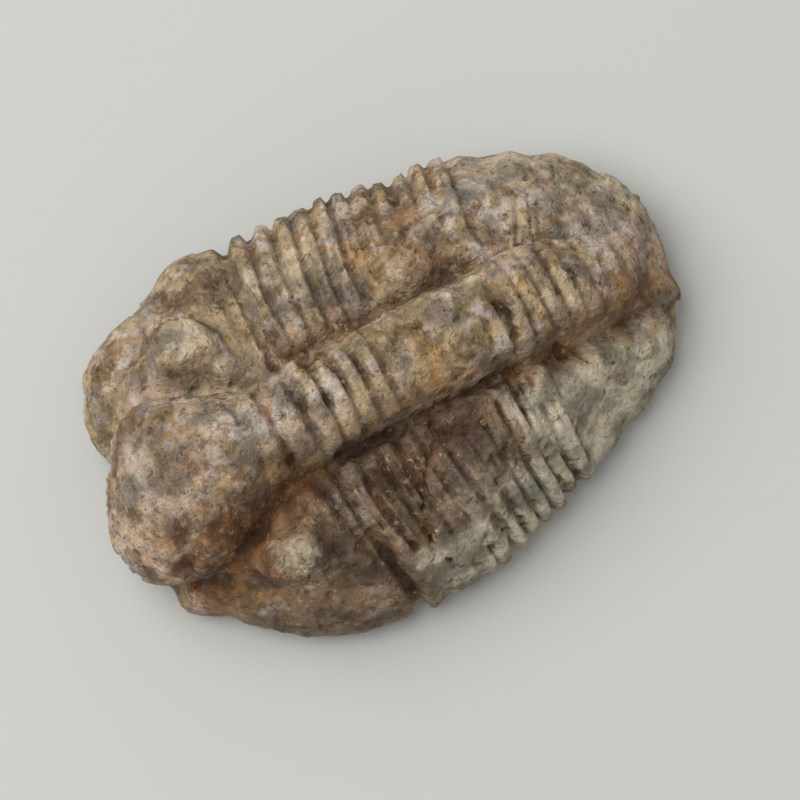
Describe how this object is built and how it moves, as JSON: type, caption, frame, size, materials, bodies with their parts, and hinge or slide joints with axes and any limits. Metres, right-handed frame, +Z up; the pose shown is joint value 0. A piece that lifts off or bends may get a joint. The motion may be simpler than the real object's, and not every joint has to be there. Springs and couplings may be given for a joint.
{
  "type": "trilobite fossil",
  "caption": "Loose fossil trilobite lying on its flat worn underside, with domed head lobe, kidney eyes, ringed middle, side ribs and a smooth rounded tail.",
  "frame": {"origin": "on the flat underside, at the middle of the fossil's length and width", "axes": "+Z up through the back, -X towards the head, +Y towards the animal's right side"},
  "size_m": [0.05, 0.0338, 0.0178],
  "materials": {
    "fossil_stone": "dry, weathered, pinkish brown fossil stone with dark rusty deposits in its furrows"
  },
  "bodies": {
    "root": {"trilobite": "fossil_stone"}
  },
  "joints": []
}
